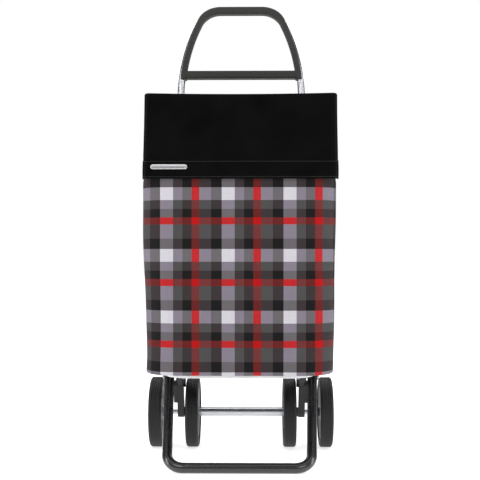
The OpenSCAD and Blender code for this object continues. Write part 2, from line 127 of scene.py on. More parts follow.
def area_light(name, place, target, size, power):
    data = bpy.data.lights.new(name, "AREA")
    data.shape = "RECTANGLE"
    data.size, data.size_y = size
    data.energy = power
    light = bpy.data.objects.new(name, data)
    light.location = place
    light.rotation_euler = (Vector(target) - Vector(place)).to_track_quat("-Z", "Y").to_euler()
    bpy.context.scene.collection.objects.link(light)


def make_lights():
    for light in LIGHTS:
        area_light(*light)


def make_world():
    """A dim grey room for the light, and a white backdrop for the camera."""
    world = bpy.data.worlds.new("studio")
    bpy.context.scene.world = world
    world.use_nodes = True
    nodes, link = world.node_tree.nodes, world.node_tree.links.new
    room = nodes["Background"]
    room.inputs["Color"].default_value = (1, 1, 1, 1)
    # darker behind the object than in front, so that bright tubes keep dark outlines
    where = nodes.new("ShaderNodeTexCoord")
    split = nodes.new("ShaderNodeSeparateXYZ")
    fall = nodes.new("ShaderNodeMapRange")
    for socket, value in (("From Min", -0.9), ("From Max", 0.5), ("To Min", ROOM_IN_FRONT),
                          ("To Max", ROOM_BEHIND)):
        fall.inputs[socket].default_value = value
    backdrop = nodes.new("ShaderNodeBackground")
    backdrop.inputs["Color"].default_value = (1, 1, 1, 1)
    seen = nodes.new("ShaderNodeLightPath")
    mix = nodes.new("ShaderNodeMixShader")
    link(where.outputs["Generated"], split.inputs[0])
    link(split.outputs[1], fall.inputs["Value"])
    link(fall.outputs[0], room.inputs["Strength"])
    link(seen.outputs["Is Camera Ray"], mix.inputs[0])
    link(room.outputs[0], mix.inputs[1])
    link(backdrop.outputs[0], mix.inputs[2])
    link(mix.outputs[0], nodes["World Output"].inputs["Surface"])
    bpy.context.scene.view_settings.view_transform = "Standard"


# ---------- node helpers ----------

class Shader:
    """A material being built: its nodes, its links and its Principled shader."""

    def __init__(self, name, base, roughness, metallic=0.0, **sockets):
        self.material = bpy.data.materials.new(name)
        self.material.use_nodes = True
        self.tree = self.material.node_tree
        self.shader = self.tree.nodes["Principled BSDF"]
        self.set("Base Color", (*base, 1))
        self.set("Roughness", roughness)
        self.set("Metallic", metallic)
        for socket, value in sockets.items():
            self.set(socket.replace("_", " "), value)

    def set(self, socket, value):
        self.shader.inputs[socket].default_value = value

    def node(self, kind, inputs=None, **settings):
        made = self.tree.nodes.new("ShaderNode" + kind)
        for key, value in settings.items():
            setattr(made, key, value)
        for key, value in (inputs or {}).items():
            self.feed(made.inputs[key], value)
        return made

    def feed(self, socket, value):
        if isinstance(value, bpy.types.NodeSocket):
            self.tree.links.new(value, socket)
        else:
            socket.default_value = value

    def math(self, operation, a, b=0.0, c=0.0, clamp=False):
        made = self.node("Math", {0: a, 1: b, 2: c}, operation=operation, use_clamp=clamp)
        return made.outputs[0]

    def place(self):
        return self.node("TexCoord").outputs["Object"]

    def noise(self, scale, detail=3.0, rough=0.55, vector=None, squeeze=None):
        vector = vector or self.place()
        if squeeze:
            vector = self.node("Mapping", {"Vector": vector, "Scale": squeeze}).outputs[0]
        made = self.node("TexNoise", {"Vector": vector, "Scale": scale, "Detail": detail, "Roughness": rough})
        return made.outputs["Fac"]

    def ramp(self, value, stops, constant=False):
        made = self.node("ValToRGB", {"Fac": value})
        made.color_ramp.interpolation = "CONSTANT" if constant else "LINEAR"
        elements = made.color_ramp.elements
        while len(elements) > 1:
            elements.remove(elements[-1])
        for i, (at, colour) in enumerate(stops):
            element = elements[0] if i == 0 else elements.new(at)
            element.position = at
            element.color = (*colour, 1) if isinstance(colour, tuple) else (colour, colour, colour, 1)
        return made.outputs["Color"]

    def mix(self, factor, a, b, blend="MIX"):
        made = self.node("Mix", data_type="RGBA", blend_type=blend)
        self.feed(made.inputs[0], factor)
        self.feed(made.inputs[6], a if isinstance(a, bpy.types.NodeSocket) else (*a, 1))
        self.feed(made.inputs[7], b if isinstance(b, bpy.types.NodeSocket) else (*b, 1))
        return made.outputs[2]

    def colour(self, socket):
        self.tree.links.new(socket, self.shader.inputs["Base Color"])

    def roughness(self, socket):
        self.tree.links.new(socket, self.shader.inputs["Roughness"])

    def bump(self, height, distance, strength=1.0, under=None):
        inputs = {"Height": height, "Distance": distance, "Strength": strength}
        if under:
            inputs["Normal"] = under
        made = self.node("Bump", inputs)
        self.tree.links.new(made.outputs[0], self.shader.inputs["Normal"])
        return made.outputs[0]


def linear(*srgb):
    """sRGB 0-255 to the linear colour that a shader takes."""
    return tuple(c / 12.92 if c <= 0.04045 else ((c + 0.055) / 1.055) ** 2.4 for c in (v / 255 for v in srgb))


# ---------- materials ----------

# The plaid: stripes as shares of one repeat, counted from an edge of a white stripe.
# w white, g grey, d dark, r red
REPEAT = 0.1275
TWILL = 0.0024
FIRST_WHITE_ACROSS = -0.0359
FIRST_WHITE_DOWN = 0.5962
STRIPES_ACROSS = [(0.0, "w"), (0.21, "g"), (0.36, "d"), (0.51, "r"), (0.635, "g"), (0.825, "d")]
STRIPES_DOWN = [(0.0, "w"), (0.205, "g"), (0.35, "d"), (0.487, "r"), (0.60, "g"), (0.83, "d")]
CROSSINGS = {
    "ww": linear(195, 193, 199),
    "wg": linear(122, 115, 127),
    "wd": linear(94, 90, 94),
    "wr": linear(175, 9, 15),
    "gg": linear(72, 71, 71),
    "gd": linear(54, 47, 49),
    "gr": linear(103, 47, 47),
    "dd": linear(22, 21, 21),
    "dr": linear(93, 31, 30),
    "rr": linear(171, 15, 18),
}

def crossing(a, b):
    """The colour where stripes of these two kinds cross."""
    return CROSSINGS.get(a + b) or CROSSINGS[b + a]


def plaid_material():
    """Twill in the plaid's stripes, laid out along the bag's own cloth map."""
    s = Shader("plaid_twill", (0.2, 0.2, 0.2), 0.7, Sheen_Weight=0.01, Sheen_Roughness=0.5,
               Specular_IOR_Level=0.08)
    uv = s.node("UVMap", uv_map="cloth").outputs[0]
    x, z, _ = s.node("SeparateXYZ", {0: uv}).outputs
    across = s.math("DIVIDE", s.math("SUBTRACT", x, FIRST_WHITE_ACROSS), REPEAT)
    down = s.math("DIVIDE", s.math("SUBTRACT", FIRST_WHITE_DOWN, z), REPEAT)
    u, v = s.math("FLOORED_MODULO", across, 1.0), s.math("FLOORED_MODULO", down, 1.0)
    rows = {
        kind: s.ramp(u, [(at, crossing(kind, other)) for at, other in STRIPES_ACROSS], constant=True)
        for kind in "wgdr"
    }
    cloth = rows["g"]
    for kind in "wdr":
        mask = s.ramp(v, [(at, 1.0 if other == kind else 0.0) for at, other in STRIPES_DOWN], constant=True)
        cloth = s.mix(mask, cloth, rows[kind])
    pure = {kind: crossing(kind, kind) for kind in "wgdr"}
    warp = s.ramp(u, [(at, pure[kind]) for at, kind in STRIPES_ACROSS], constant=True)
    weft = s.ramp(v, [(at, pure[kind]) for at, kind in STRIPES_DOWN], constant=True)
    # twill: diagonal ridges, and threads; the same relief that makes the bump also darkens the colour in its
    # hollows, a painted shade
    diagonal = s.math("MULTIPLY", s.math("ADD", x, z), 2 * math.pi / TWILL)
    ridge = s.math("MULTIPLY_ADD", s.math("SINE", diagonal), 0.5, 0.5)
    across_it = s.math("MULTIPLY", s.math("SUBTRACT", x, z), 2 * math.pi / TWILL)
    thread = s.math("MULTIPLY_ADD", s.math("SINE", across_it), 0.5, 0.5)
    weave = s.math("ADD", s.math("MULTIPLY", ridge, 0.7), s.math("MULTIPLY", thread, 0.3))
    on_top = s.math("MULTIPLY_ADD", s.math("SINE", diagonal), 1.6, 0.5, clamp=True)
    cloth = s.mix(0.06, cloth, s.mix(on_top, warp, weft))
    # painted shade: the colour is darker where the weave is low, between the ridges and threads; the slubs
    # below vary the tone at random
    tone = s.math("MULTIPLY_ADD", weave, 0.36, 0.76)
    slub_u = s.noise(1.0, 2.0, vector=uv, squeeze=(900, 14, 1))
    slub_v = s.noise(1.0, 2.0, vector=uv, squeeze=(14, 900, 1))
    slub = s.math("MULTIPLY_ADD", s.math("ADD", slub_u, slub_v), 0.22, 0.76)
    shade = s.math("MULTIPLY", tone, slub)
    grey = s.node("CombineColor", {0: shade, 1: shade, 2: shade}).outputs[0]
    s.colour(s.mix(1.0, cloth, grey, "MULTIPLY"))
    s.bump(weave, 0.0002, 0.5)
    return s.material


def woven_material(name, base, roughness, period, depth=0.0002, sheen=0.1):
    """Plain woven cloth whose threads follow the row frame's axes."""
    s = Shader(name, base, roughness, Sheen_Weight=sheen, Specular_IOR_Level=0.3)
    parts = s.node("SeparateXYZ", {0: s.place()})
    k = 2 * math.pi / period
    a = s.math("SINE", s.math("MULTIPLY", s.math("ADD", parts.outputs[0], parts.outputs[1]), k))
    b = s.math("SINE", s.math("MULTIPLY", parts.outputs[2], k))
    weave = s.math("MULTIPLY_ADD", s.math("MULTIPLY", a, b), 0.5, 0.5)
    cloud = s.noise(9, 4)
    # partly painted shade, darker in the hollows of the weave that drives the bump; the rest is cloud, tone
    # that differs at random
    tone = s.math("ADD", s.math("MULTIPLY", weave, 0.35), s.math("MULTIPLY", cloud, 0.65))
    low, high = tuple(c * 0.65 for c in base), tuple(min(1, c * 1.5 + 0.002) for c in base)
    s.colour(s.ramp(tone, [(0.2, low), (0.8, high)]))
    s.bump(weave, depth, 0.6)
    return s.material


def cover_material():
    """Coated cloth: very dark, smooth, with a satin sheen and a fine grain."""
    s = Shader("cover_coated", linear(4, 4, 4), 0.42, Specular_IOR_Level=0.045)
    grain = s.noise(2400, 2)
    cloud = s.noise(14, 5)
    s.colour(s.ramp(cloud, [(0.3, linear(3, 3, 3)), (0.75, linear(7, 7, 7))]))
    s.roughness(s.ramp(cloud, [(0.25, 0.36), (0.8, 0.52)]))
    fold = s.bump(s.noise(11, 3), 0.0016, 0.5)
    s.bump(grain, 0.00006, 0.6, under=fold)
    return s.material


def metal_material(name, base, roughness, streak=(1, 1, 1), scale=60, variation=0.1):
    """Polished or brushed metal with drawing marks along the squeezed direction and faint rubbing."""
    s = Shader(name, base, roughness, metallic=1.0)
    marks = s.noise(scale, 5, squeeze=streak)
    rub = s.noise(7, 4)
    s.roughness(s.ramp(s.math("ADD", s.math("MULTIPLY", marks, 0.5), s.math("MULTIPLY", rub, 0.5)),
                       [(0.3, roughness * 0.7), (0.7, roughness * 1.5)]))
    s.colour(s.ramp(rub, [(0.3, tuple(c * (1 - variation) for c in base)), (0.7, base)]))
    s.bump(marks, 0.00001, 0.5)
    return s.material


def painted_material(name, base, roughness, coat, peel=0.00012):
    """Powder coat: a slight orange peel under a clear gloss."""
    s = Shader(name, base, roughness, Coat_Weight=coat, Coat_Roughness=0.12)
    cloud = s.noise(18, 4)
    dark, plain = tuple(c * 0.85 for c in base), tuple(min(1, c * 1.1) for c in base)
    s.colour(s.ramp(cloud, [(0.3, dark), (0.75, plain)]))
    s.roughness(s.ramp(cloud, [(0.3, roughness * 0.85), (0.8, roughness * 1.25)]))
    s.bump(s.noise(420, 2), peel, 0.35)
    return s.material


def plastic_material(name, base, roughness, grain=0.00012, scale=1500, edge_highlight_gain=0.35):
    """Moulded plastic: spark-eroded grain, and a painted highlight that lightens the colour along the convex
    edges.
    """
    s = Shader(name, base, roughness, Specular_IOR_Level=0.42)
    cloud = s.noise(22, 4)
    edge = s.node("NewGeometry").outputs["Pointiness"]
    # painted highlight: the colour is lighter where the surface is convex, along the edges
    edge_highlight_mask = s.ramp(edge, [(0.50, 0.0), (0.56, 1.0)])
    light = tuple(min(1.0, c * (1 + edge_highlight_gain) + 0.01) for c in base)
    dark, plain = tuple(c * 0.82 for c in base), tuple(min(1, c * 1.12) for c in base)
    s.colour(s.mix(edge_highlight_mask, s.ramp(cloud, [(0.3, dark), (0.75, plain)]), light))
    s.roughness(s.ramp(cloud, [(0.3, roughness * 0.88), (0.8, roughness * 1.15)]))
    s.bump(s.noise(scale, 2), grain, 0.5)
    return s.material


def rubber_material():
    s = Shader("tyre_rubber", linear(30, 31, 34), 0.55, Specular_IOR_Level=0.38)
    dust = s.noise(30, 5)
    s.colour(s.ramp(dust, [(0.35, linear(15, 15, 17)), (0.8, linear(30, 31, 35))]))
    s.roughness(s.ramp(dust, [(0.3, 0.52), (0.8, 0.74)]))
    s.bump(s.noise(900, 3), 0.00012, 0.5)
    return s.material


def board_material():
    s = Shader("fibre_board", linear(96, 80, 62), 0.8)
    fibre = s.noise(40, 6, squeeze=(1, 12, 1))
    s.colour(s.ramp(fibre, [(0.3, linear(74, 60, 46)), (0.75, linear(122, 103, 82))]))
    s.bump(fibre, 0.0004, 0.6)
    return s.material


def thread_material():
    s = Shader("stitch_thread", linear(26, 26, 28), 0.7, Sheen_Weight=0.2)
    s.bump(s.noise(3000, 2), 0.0001, 0.8)
    s.colour(s.ramp(s.noise(200, 2), [(0.3, linear(18, 18, 20)), (0.7, linear(40, 40, 43))]))
    return s.material


FLOOR_GLOW = 0.68    # close to the trolley, where its shadow has to show
FLOOR_FADE = 2.2     # metres out to where the floor is as white as the backdrop


def floor_material():
    """Pale and plain, glowing a little more with the distance from the trolley."""
    s = Shader("studio_floor", linear(244, 244, 244), 0.75, Specular_IOR_Level=0.2)
    s.set("Emission Color", (1, 1, 1, 1))
    far = s.node("VectorMath", {0: s.place()}, operation="LENGTH").outputs["Value"]
    s.feed(s.shader.inputs["Emission Strength"],
           s.ramp(s.math("DIVIDE", far, FLOOR_FADE), [(0.28, FLOOR_GLOW), (1.0, 1.0)]))
    s.roughness(s.ramp(s.noise(3, 3), [(0.3, 0.7), (0.8, 0.85)]))
    return s.material


MATERIALS = {
    "plaid": plaid_material(),
    "cover": cover_material(),
    "lining": woven_material("black_lining", linear(24, 24, 26), 0.6, 0.0012),
    "back_cloth": woven_material("black_back_cloth", linear(22, 22, 24), 0.66, 0.0016),
    "webbing": woven_material("black_webbing", linear(26, 26, 28), 0.72, 0.0014, 0.0004, 0.2),
    "hook_loop": woven_material("hook_and_loop", linear(16, 16, 17), 0.95, 0.0008, 0.0006, 0.5),
    "tube": metal_material("polished_tube", linear(164, 165, 168), 0.2, (1, 1, 0.02), 240, 0.08),
    "axle": metal_material("bright_axle", linear(200, 201, 205), 0.2, (0.02, 1, 1), 240, 0.08),
    "fastener": metal_material("zinc_steel", linear(168, 168, 172), 0.32, (1, 1, 1), 160, 0.15),
    "leg": painted_material("black_gloss_coat", linear(17, 17, 19), 0.28, 0.6, 0.00003),
    "tray": painted_material("pale_grey_coat", linear(206, 207, 210), 0.34, 0.3),
    "grip": plastic_material("grip_plastic", linear(29, 29, 26), 0.58, 0.00016, 1300, 0.25),
    "black_plastic": plastic_material("black_plastic", linear(27, 27, 29), 0.42),
    "rim": plastic_material("grey_rim_plastic", linear(176, 178, 181), 0.46, 0.0001, 1200, 0.06),
    "rubber": rubber_material(),
    "board": board_material(),
    "thread": thread_material(),
    "floor": floor_material(),
    "badge": metal_material("badge_silver", linear(196, 197, 200), 0.3, (0.02, 1, 1), 300, 0.05),
}


# ---------- mesh helpers ----------

def new_object(name, mesh, materials):
    made = bpy.data.objects.new(name, mesh)
    for key in materials:
        mesh.materials.append(MATERIALS[key])
    bpy.context.scene.collection.objects.link(made)
    return made


def from_bmesh(name, bm, materials):
    mesh = bpy.data.meshes.new(name)
    bmesh.ops.recalc_face_normals(bm, faces=bm.faces)
    bm.normal_update()
    bm.to_mesh(mesh)
    bm.free()
    for face in mesh.polygons:
        face.use_smooth = True
    return new_object(name, mesh, materials)


def join(name, pieces, materials):
    """Joins pieces into one mesh."""
    bm = bmesh.new()
    for piece in pieces:
        bm.from_mesh(piece.data)
        bpy.data.objects.remove(piece)
    return from_bmesh(name, bm, materials)


def bridge(bm, a, b, material=0):
    """A band of faces between two closed rings of vertices."""
    for k in range(len(a)):
        n = (k + 1) % len(a)
        bm.faces.new((a[k], a[n], b[n], b[k])).material_index = material


def sweep(name, path, section, materials, closed=False, up=(0, 1, 0)):
    """Sweeps a section [(a, b), ...] along path. a runs along the side vector, b along the one near up."""
    bm = bmesh.new()
    points = [Vector(p) for p in path]
    count = len(points)
    rings = []
    for i, p in enumerate(points):
        before = points[i - 1] if (i or closed) else p
        after = points[(i + 1) % count] if (i + 1 < count or closed) else p
        along = (after - before).normalized()
        side = along.cross(Vector(up)).normalized()
        top = side.cross(along).normalized()
        rings.append([bm.verts.new(p + side * a + top * b) for a, b in section])
    for i in range(count if closed else count - 1):
        bridge(bm, rings[i], rings[(i + 1) % count])
    if not closed:
        bm.faces.new(rings[0][::-1])
        bm.faces.new(rings[-1])
    return from_bmesh(name, bm, materials)


def loft(name, rings, materials):
    """A closed solid through rings of points, with a flat cap at each end."""
    bm = bmesh.new()
    made = [[bm.verts.new(p) for p in ring] for ring in rings]
    for a, b in zip(made, made[1:]):
        bridge(bm, a, b)
    bm.faces.new(made[0][::-1])
    bm.faces.new(made[-1])
    return from_bmesh(name, bm, materials)


def cap(bm, ring, material):
    face = bm.faces.new(ring)
    face.material_index = material
    bmesh.ops.triangulate(bm, faces=[face])


def sheet(name, outer, inner, materials):
    """A thin closed sheet between two grids of points, each a list of rows."""
    bm = bmesh.new()
    outer, inner = ([[bm.verts.new(p) for p in row] for row in grid] for grid in (outer, inner))
    rows, columns = len(outer) - 1, len(outer[0]) - 1
    for k in range(rows):
        for i in range(columns):
            bm.faces.new((outer[k][i], outer[k][i + 1], outer[k + 1][i + 1], outer[k + 1][i]))
            bm.faces.new((inner[k][i], inner[k + 1][i], inner[k + 1][i + 1], inner[k][i + 1]))
        for i in (0, columns):
            bm.faces.new((outer[k][i], outer[k + 1][i], inner[k + 1][i], inner[k][i]))
    for k in (0, rows):
        for i in range(columns):
            bm.faces.new((outer[k][i], outer[k][i + 1], inner[k][i + 1], inner[k][i]))
    return from_bmesh(name, bm, materials)


def circle_section(radius, sides):
    return [(radius * math.cos(2 * math.pi * k / sides), radius * math.sin(2 * math.pi * k / sides))
            for k in range(sides)]


def lathe(name, profile, materials, sides):
    """Turns a closed profile [(along, radius), ...] about +X."""
    bm = bmesh.new()
    rings = []
    for k in range(sides):
        t = 2 * math.pi * k / sides
        rings.append([bm.verts.new((x, r * math.cos(t), r * math.sin(t))) for x, r in profile])
    for k in range(sides):
        bridge(bm, rings[k], rings[(k + 1) % sides])
    return from_bmesh(name, bm, materials)


def finish_piece(obj, body, slot, *nodes):
    """The piece moves with body and stands for these CAD nodes; slot is not used."""
    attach(obj, body)
    if nodes:
        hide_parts(*nodes)
    return obj


# ---------- outlines ----------

def smoothstep(x, low=0.0, high=1.0):
    t = min(1.0, max(0.0, (x - low) / (high - low)))
    return t * t * (3 - 2 * t)


def rounded_outline(half, front, back, front_r, back_r, count):
    """Points and outward normals round a rounded rectangle, from the middle of the back, anticlockwise seen
    from above, with the distance along the cloth counted from the middle of the front."""
    front_half, back_half = half - front_r, half - back_r
    side = (back - back_r) - (front + front_r)
    stretches = [
        ("line", (0, back), (-back_half, back), (0, 1)),
        ("arc", (-back_half, back - back_r), back_r, 90),
        ("line", (-half, back - back_r), (-half, front + front_r), (-1, 0)),
        ("arc", (-front_half, front + front_r), front_r, 180),
        ("line", (-front_half, front), (front_half, front), (0, -1)),
        ("arc", (front_half, front + front_r), front_r, 270),
        ("line", (half, front + front_r), (half, back - back_r), (1, 0)),
        ("arc", (back_half, back - back_r), back_r, 0),
        ("line", (back_half, back), (0, back), (0, 1)),
    ]
    lengths = [back_half, math.pi / 2 * back_r, side, math.pi / 2 * front_r, 2 * front_half,
               math.pi / 2 * front_r, side, math.pi / 2 * back_r, back_half]
    total = sum(lengths)
    middle_at = sum(lengths[:4]) + front_half
    result = []
    for k in range(count):
        at = total * k / count
        rest, index = at, 0
        while rest > lengths[index] and index < len(lengths) - 1:
            rest -= lengths[index]
            index += 1
        share = rest / lengths[index]
        kind, a, b, c = stretches[index]
        if kind == "line":
            point = (a[0] + (b[0] - a[0]) * share, a[1] + (b[1] - a[1]) * share)
            normal = c
        else:
            t = math.radians(c + 90 * share)
            normal = (math.cos(t), math.sin(t))
            point = (a[0] + b * normal[0], a[1] + b * normal[1])
        result.append((point, normal, at - middle_at))
    return result


def outline_path(half, front, back, front_r, back_r, z, count=220):
    outline = rounded_outline(half, front, back, front_r, back_r, count)
    return [(x, y, z) for (x, y), _, _ in outline]


# ---------- the bag ----------

BAG_COLUMNS = 288
CLOTH = 0.002
BAG_DROOP = 0.005        # the base hangs this much below the board
BASE_ROLL = 0.0045       # rounding round the base
BASE_SOFTER = 0.022      # the front corners are this much rounder at the base than at the rim
BAG_WIDE = 0.2043        # half width just below the cover
BAG_NARROW = 0.1990      # half width at the base
BAG_UNDER_COVER = 0.2000
BACK_CORNER = BAG_CORNER * 0.7
PLAID, LINING, BACK_CLOTH = 0, 1, 2    # the shell's materials


def bag_half(z):
    """Half the bag's width at this height."""
    share = (z - BAG_LOW) / (COVER_LOW - BAG_LOW)
    below = BAG_NARROW + (BAG_WIDE - BAG_NARROW) * smoothstep(share, 0.0, 0.8)
    return below + (BAG_UNDER_COVER - below) * smoothstep(z, COVER_LOW - 0.010, COVER_LOW + 0.030)


def bag_wave(u, z, height):
    """How far the cloth stands out from its flat shape: broad, shallow folds that fade at the rim."""
    t = z / height
    free = smoothstep(t, 0.0, 0.12) * (1 - smoothstep(t, 0.52, 0.71))
    broad = 0.0022 * math.sin(9.3 * u + 2.1 * t + 0.6) * math.sin(3.0 * t + 0.9)
    slack = 0.0012 * math.sin(24 * u + 7.0 * t) * math.sin(11 * t + 2.4 * u)
    pull = 0.0010 * math.sin(41 * u - 9.0 * t + 1.3) * (1 - smoothstep(t, 0.0, 0.35))
    return free * (broad + slack) + smoothstep(t, 0.0, 0.05) * pull * (1 - smoothstep(t, 0.5, 0.7))


def plaid_distance(along, flat, radius):
    """The cloth's distance from the middle of the front, with each front corner counted as its width only, so
    that the upright stripes stay upright on the sides."""
    past = abs(along) - flat
    if past <= 0:
        return along
    turned = min(past / radius, math.pi / 2)
    return math.copysign(flat + radius * math.sin(turned) + max(0.0, past - radius * math.pi / 2), along)


def bag_rows():
    """The shell's rings as (inset, height, material), from the base's middle up the wall and down the lining.
    An inset above 0.03 is the share of the way to the middle; a smaller one is metres inside the wall."""
    low, high = BAG_LOW - BAG_DROOP, BAG_TOP
    wall_low, wall_rows = low + BASE_ROLL, 104
    lining_rows = wall_rows // 2
    rows = [(share, BAG_LOW - 0.0002, BACK_CLOTH) for share in (0.95, 0.75, 0.5, 0.3, 0.15, 0.06)]
    for k in range(5):
        t = math.pi / 2 * k / 4
        rows.append((BASE_ROLL * (1 - math.sin(t)), low + BASE_ROLL * (1 - math.cos(t)), PLAID))
    rows += [(0.0, wall_low + (high - wall_low) * k / wall_rows, PLAID) for k in range(1, wall_rows + 1)]
    rows.append((CLOTH * 0.5, high + 0.0006, LINING))
    rows += [(CLOTH, high - (high - BAG_LOW - 0.006) * k / lining_rows, LINING) for k in range(lining_rows + 1)]
    rows += [(share, BAG_LOW + CLOTH, LINING) for share in (0.04, 0.15, 0.5, 0.95)]
    return rows


def bag_ring(inset, z):
    """Points of one ring, with the plaid's distance across for each."""
    low = BAG_LOW - BAG_DROOP
    height = BAG_TOP - low
    half = bag_half(z)
    front_r = BAG_CORNER + BASE_SOFTER * (1 - (z - low) / height)
    centre_y = (BAG_FRONT + BAG_BACK) / 2
    outline = rounded_outline(half, BAG_FRONT, BAG_BACK, front_r, BACK_CORNER, BAG_COLUMNS)
    points, across = [], []
    for (x, y), (nx, ny), along in outline:
        along = plaid_distance(along, half - front_r, front_r)
        across.append(along)
        if inset >= 0.03:
            points.append((x * (1 - inset), y + (centre_y - y) * inset, z))
            continue
        out = bag_wave(along, z - low, height) - inset
        if ny > 0.7:
            out = min(out, -inset)
        points.append((x + nx * out, y + ny * out, z))
    return points, across


def bag_shell():
    """One lofted shell: under the base, up the plaid wall, over the rim and down the lining."""
    rows = bag_rows()
    bm = bmesh.new()
    uv = bm.loops.layers.uv.new("cloth")
    rings, coords = [], []
    for inset, z, _ in rows:
        points, across = bag_ring(inset, z)
        rings.append([bm.verts.new(p) for p in points])
        coords.append(across)
    for r in range(len(rows) - 1):
        for k in range(BAG_COLUMNS):
            n = (k + 1) % BAG_COLUMNS
            face = bm.faces.new((rings[r][k], rings[r][n], rings[r + 1][n], rings[r + 1][k]))
            start = coords[r][k]
            end = coords[r][n] if n else 2 * start - coords[r][k - 1]
            for loop, (u, row) in zip(face.loops, ((start, r), (end, r), (end, r + 1), (start, r + 1))):
                loop[uv].uv = (u, rows[row][1])
            at_back = sum(v.co.y for v in face.verts) / 4 > BAG_BACK - BAG_CORNER * 0.35
            material = BACK_CLOTH if rows[r][2] == BACK_CLOTH else rows[r + 1][2]
            face.material_index = BACK_CLOTH if material == PLAID and at_back else material
    cap(bm, rings[0][::-1], BACK_CLOTH)
    cap(bm, rings[-1], LINING)
    return from_bmesh("bag_shell", bm, ["plaid", "lining", "back_cloth"])


def make_rim():
    """Binding tape folded over the rim, and the wire hoop in its sleeve just inside."""
    tape = [(-0.0016, -0.011), (-0.0016, 0.0006), (-0.0009, 0.0013), (0.0009, 0.0013), (0.0016, 0.0006),
            (0.0016, -0.011)]
    half, inset = BAG_UNDER_COVER - CLOTH / 2, CLOTH / 2
    path = outline_path(half, BAG_FRONT + inset, BAG_BACK - inset, BAG_CORNER, BACK_CORNER, BAG_TOP)
    binding = sweep("rim_binding", path, tape, ["webbing"], closed=True, up=(0, 0, 1))
    finish_piece(binding, "frame", "webbing", "bag_rim_binding")
    inset = CLOTH + 0.0032
    path = outline_path(BAG_UNDER_COVER - inset, BAG_FRONT + inset, BAG_BACK - inset, BAG_CORNER - inset,
                        BACK_CORNER - inset, middle("bag_rim_hoop").z)
    hoop = sweep("rim_hoop_sleeve", path, circle_section(0.0028, 12), ["lining"], closed=True, up=(0, 0, 1))
    finish_piece(hoop, "frame", "black_cloth", "bag_rim_hoop")
    return [binding, hoop]


def make_seams():
    """Piping where the plaid meets the back panel, with a row of stitches each side of it."""
    turn = math.asin(0.65)
    rows = (("piping", turn, 0.0012), ("stitches_front", turn - 0.22, 0.0003),
            ("stitches_back", turn + 0.22, 0.0003))
    pieces = []
    for side, word in ((-1, "left"), (1, "right")):
        for kind, angle, out in rows:
            reach = BACK_CORNER + out + 0.0004
            seam = []
            for k in range(120):
                z = BAG_LOW + 0.008 + (BAG_TOP - 0.012 - BAG_LOW) * k / 119
                seam.append((side * (bag_half(z) - BACK_CORNER + reach * math.cos(angle)),
                             BAG_BACK - BACK_CORNER + reach * math.sin(angle), z))
            if kind == "piping":
                piece = sweep(f"side_piping_{word}", seam, circle_section(0.0022, 10), ["webbing"])
                pieces.append(finish_piece(piece, "frame", "webbing"))
            else:
                pieces.append(stitch_row(f"{kind}_{word}", seam, "frame", "plaid_cloth"))
    return pieces


def make_bag():
    shell = bag_shell()
    finish_piece(shell, "frame", "plaid_cloth", "bag_front_panel", "bag_left_panel", "bag_right_panel",
                 "bag_back_panel", "bag_bottom_panel")
    pieces = [shell, *make_rim(), *make_seams()]
    pieces.append(make_patches("loop_patches", "closure_loop_patches", "frame",
                               lambda x, z: BAG_FRONT, -0.0009))
    flatten(pieces)


def make_patches(name, node, body, surface, thickness):
    """Two strips of hook-and-loop tape with soft corners, laid on surface(x, z)."""
    low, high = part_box(node)
    width, tall = 0.060, high.z - low.z
    parts = []
    for side in (-1, 1):
        x_mid, z_mid = side * (high.x - width / 2), (low.z + high.z) / 2
        rings = []
        for shrink, out in ((0.0, 0.0), (0.0, 0.7), (0.0006, 1.0), (0.008, 1.0), (0.0115, 1.0)):
            ring = []
            for k in range(56):
                t = 2 * math.pi * k / 56
                c, d = math.cos(t), math.sin(t)
                x = x_mid + math.copysign(abs(c) ** 0.22, c) * (width / 2 - shrink)
                z = z_mid + math.copysign(abs(d) ** 0.22, d) * (tall / 2 - shrink)
                ring.append((x, surface(x, z) + thickness * out, z))
            rings.append(ring)
        parts.append(loft(f"{name}_part", rings, ["hook_loop"]))
    return finish_piece(join(name, parts, ["hook_loop"]), body, "hook_and_loop", node)


# ---------- the cover ----------

COVER_COLUMNS = 420
COVER_CLOTH = 0.0025
COVER_EDGE = 0.0042      # rounding where the top turns over into the walls
COVER_WIDE = 0.2016      # half width across the front at the hem
COVER_NARROW = 0.1998    # and at the top edge
COVER_CORNER = 0.012
COVER_BULGE = 0.0038     # the sides stand further out behind the front corners
COVER_SHIFT = 0.0023     # the cover sits a little to the right,
COVER_LEAN = 0.001       # and more so at the top
FRONT_DROP = COVER_TOP - COVER_LOW    # depth of the wall at the front, at the back of the skirts and behind
SKIRT_DROP, BACK_DROP = FRONT_DROP - 0.100, 0.016
FRONT_LINE, BACK_LINE = COVER_FRONT + COVER_CORNER, COVER_BACK - 0.030
COVER_MIDDLE = (COVER_FRONT + COVER_BACK) / 2
COVER_OUTLINE = rounded_outline(COVER_WIDE, COVER_FRONT, COVER_BACK, COVER_CORNER, 0.016, COVER_COLUMNS)


def settle(x, y, z):
    """The cover's small lean to one side, its narrower top and its wider sides."""
    share = min(1.0, max(0.0, (z - COVER_LOW) / (COVER_TOP - COVER_LOW)))
    wide = COVER_WIDE + (COVER_NARROW - COVER_WIDE) * share
    wide += COVER_BULGE * smoothstep(y, COVER_FRONT + 0.02, COVER_FRONT + 0.10)
    return x * wide / COVER_WIDE + COVER_SHIFT + COVER_LEAN * share


def cover_drop(y):
    """Depth of the wall below the top at this place."""
    if y <= FRONT_LINE:
        return FRONT_DROP
    if y >= BACK_LINE:
        return BACK_DROP
    if y >= SKIRT_BACK:
        return BACK_DROP + (SKIRT_DROP - BACK_DROP) * (1 - smoothstep(y, SKIRT_BACK, BACK_LINE))
    return FRONT_DROP + (SKIRT_DROP - FRONT_DROP) * (y - FRONT_LINE) / (SKIRT_BACK - FRONT_LINE)


